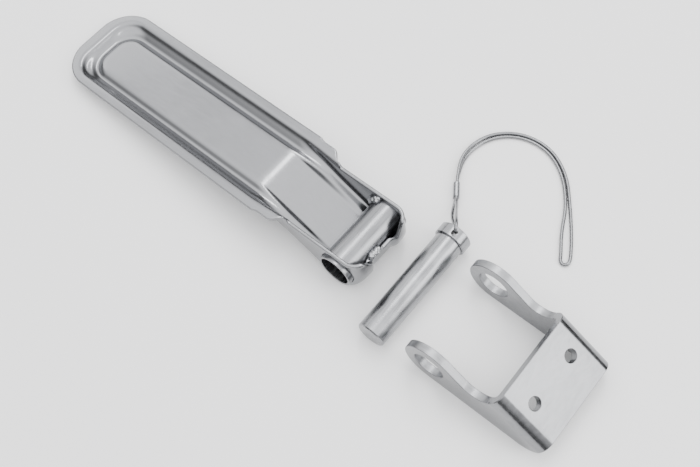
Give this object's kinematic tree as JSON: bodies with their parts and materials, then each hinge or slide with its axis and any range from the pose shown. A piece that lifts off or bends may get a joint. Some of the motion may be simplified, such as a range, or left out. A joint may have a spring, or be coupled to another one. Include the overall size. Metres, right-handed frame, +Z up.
{
  "type": "removable-pin strap hinge",
  "caption": "Removable-pin hinge laid out apart: long strap with a knuckle tube, bent bracket with two ears, headed pin on a wire lanyard.",
  "frame": {"origin": "middle of the bracket's ear bore, between its two ears", "axes": "+X from the strap towards the bracket's mounting plate, +Y along the ear bore, +Z up off the ground that the pieces lie on"},
  "size_m": [0.4287, 0.1861, 0.0384],
  "materials": {
    "zinc_strap": "bright zinc plated sheet, satin",
    "zinc_tube": "drawn tube, zinc plated",
    "weld": "plated weld bead",
    "zinc_bracket": "zinc plated plate with brushed faces and sheared edges",
    "zinc_pin": "turned bar, zinc plated, fine lengthways streaks",
    "wire_rope": "clear-coated steel wire rope",
    "crimp": "crimped sleeve"
  },
  "bodies": {
    "bracket": {"hinge_bracket": "zinc_bracket"},
    "strap": {"strap_pressing": "zinc_strap", "knuckle_tube": "zinc_tube", "lip_weld": "weld", "wall_weld": "weld"},
    "pin": {"hinge_pin": "zinc_pin", "lanyard_rope": "wire_rope", "crimp_ferrule": "crimp"}
  },
  "joints": [
    {"name": "strap_swing", "type": "hinge", "parent": "bracket", "child": "strap", "pos_m": [-0.0839, 0.0058, -0.00123], "axis": [0.0339, 0.9994, 0], "range_deg": [0, 60]},
    {"name": "pin_slide", "type": "slide", "parent": "bracket", "child": "pin", "axis": [0.0122, 0.9998, 0.0184], "range_m": [0, 0.085]}
  ]
}
